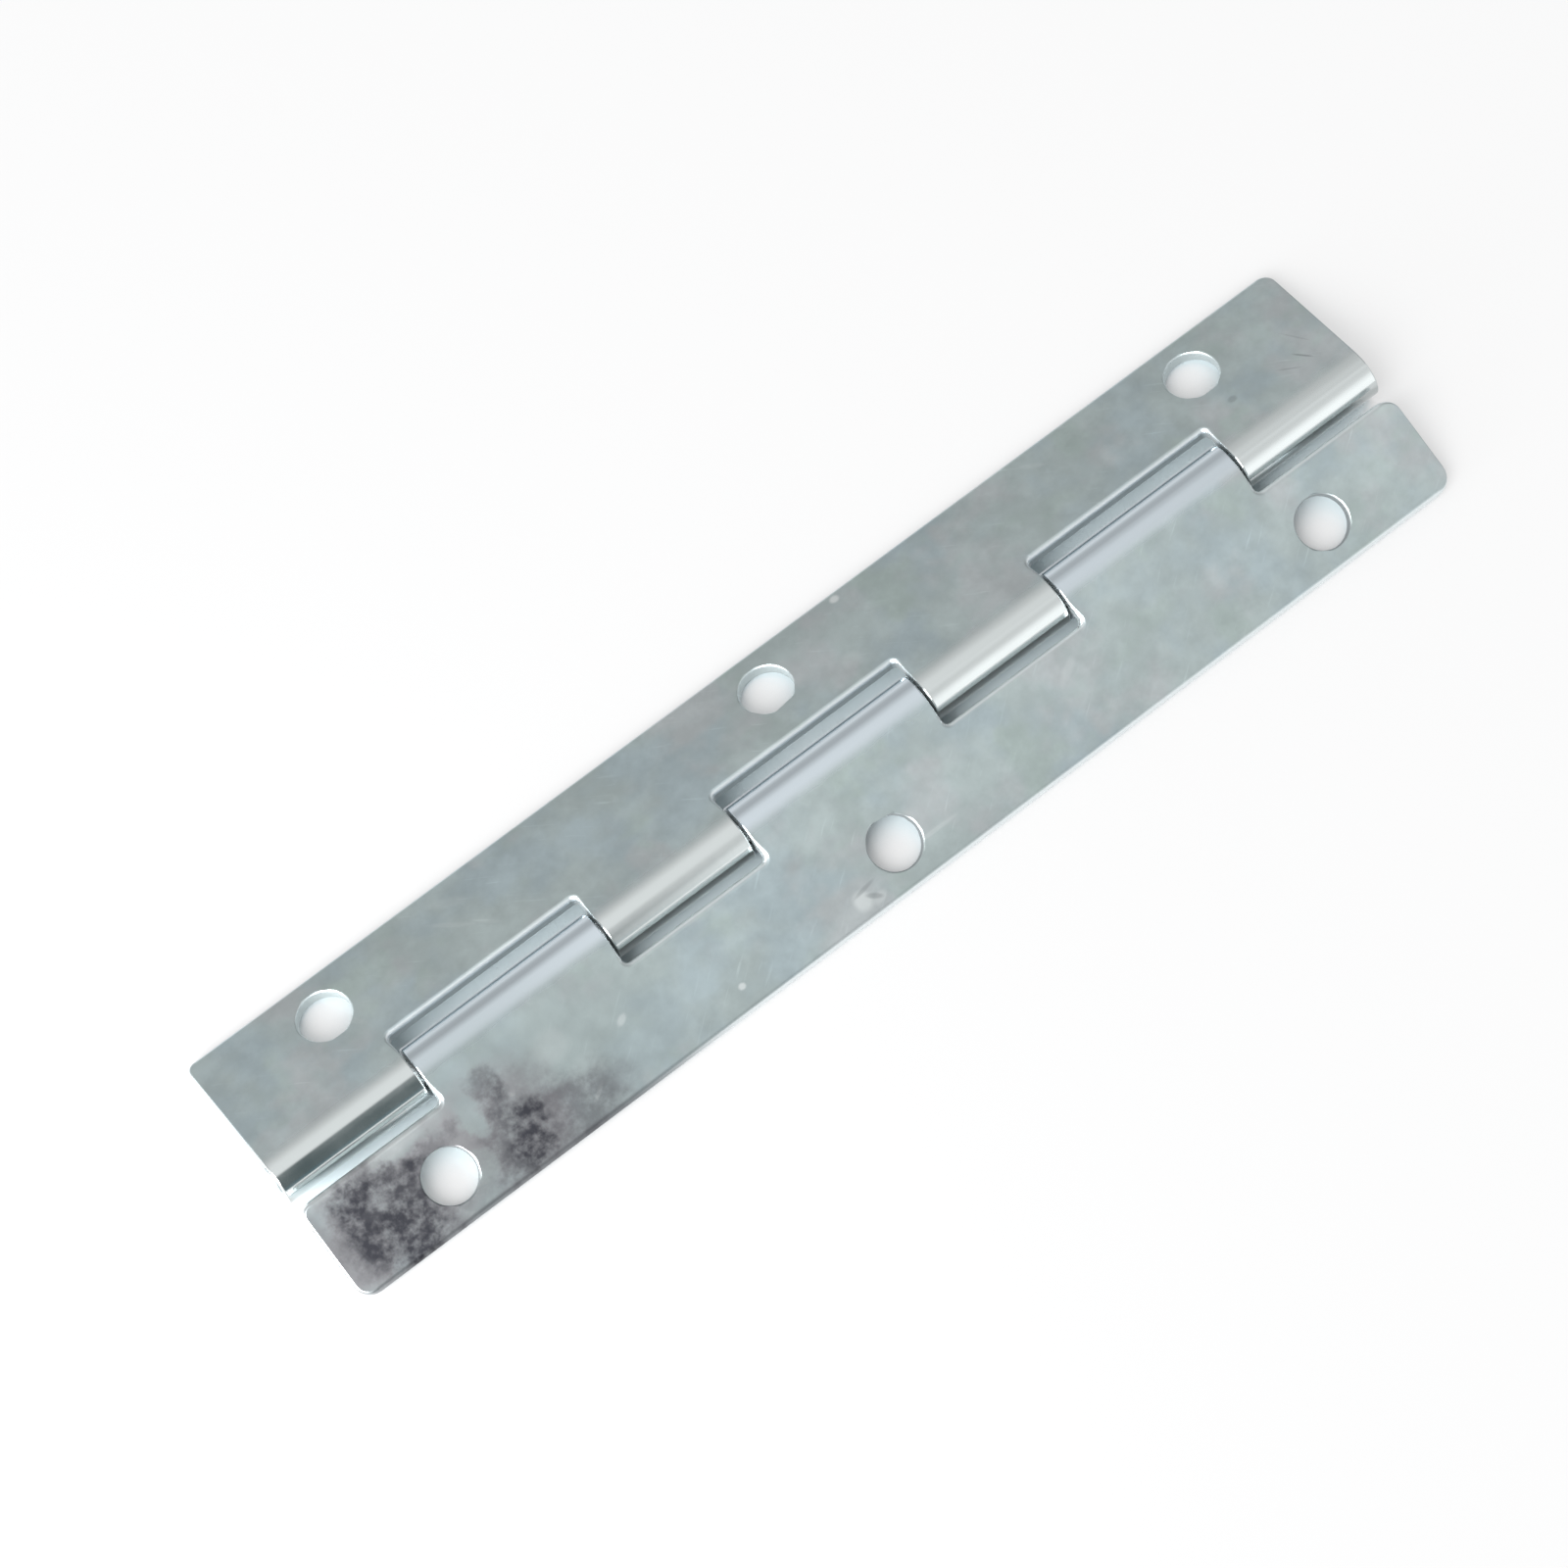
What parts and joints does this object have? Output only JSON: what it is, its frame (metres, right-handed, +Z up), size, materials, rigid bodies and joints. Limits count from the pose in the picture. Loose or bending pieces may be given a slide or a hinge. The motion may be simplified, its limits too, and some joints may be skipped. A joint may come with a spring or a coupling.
{
  "type": "narrow hinge",
  "caption": "Narrow strip hinge of zinc-plated sheet steel: flat leaves rolled into interleaved knuckles on a straight pin, with a row of plain screw holes in each leaf.",
  "frame": {"origin": "on the surface that the hinge lies on, under the middle of the pin", "axes": "+X along the pin, +Y towards the leaf that has both ends of the barrel, +Z up from the surface"},
  "size_m": [0.12, 0.0262, 0.005],
  "materials": {
    "leaf_zinc": "satin zinc plate",
    "pin_zinc": "satin zinc plate"
  },
  "bodies": {
    "end_leaf": {"end_knuckle_leaf": "leaf_zinc", "hinge_pin": "pin_zinc"},
    "mid_leaf": {"mid_knuckle_leaf": "leaf_zinc"}
  },
  "joints": [
    {"name": "leaf_fold", "type": "hinge", "parent": "end_leaf", "child": "mid_leaf", "pos_m": [0, 0, 0.0025], "axis": [-1, 0, 0], "range_deg": [-157, 137]}
  ]
}
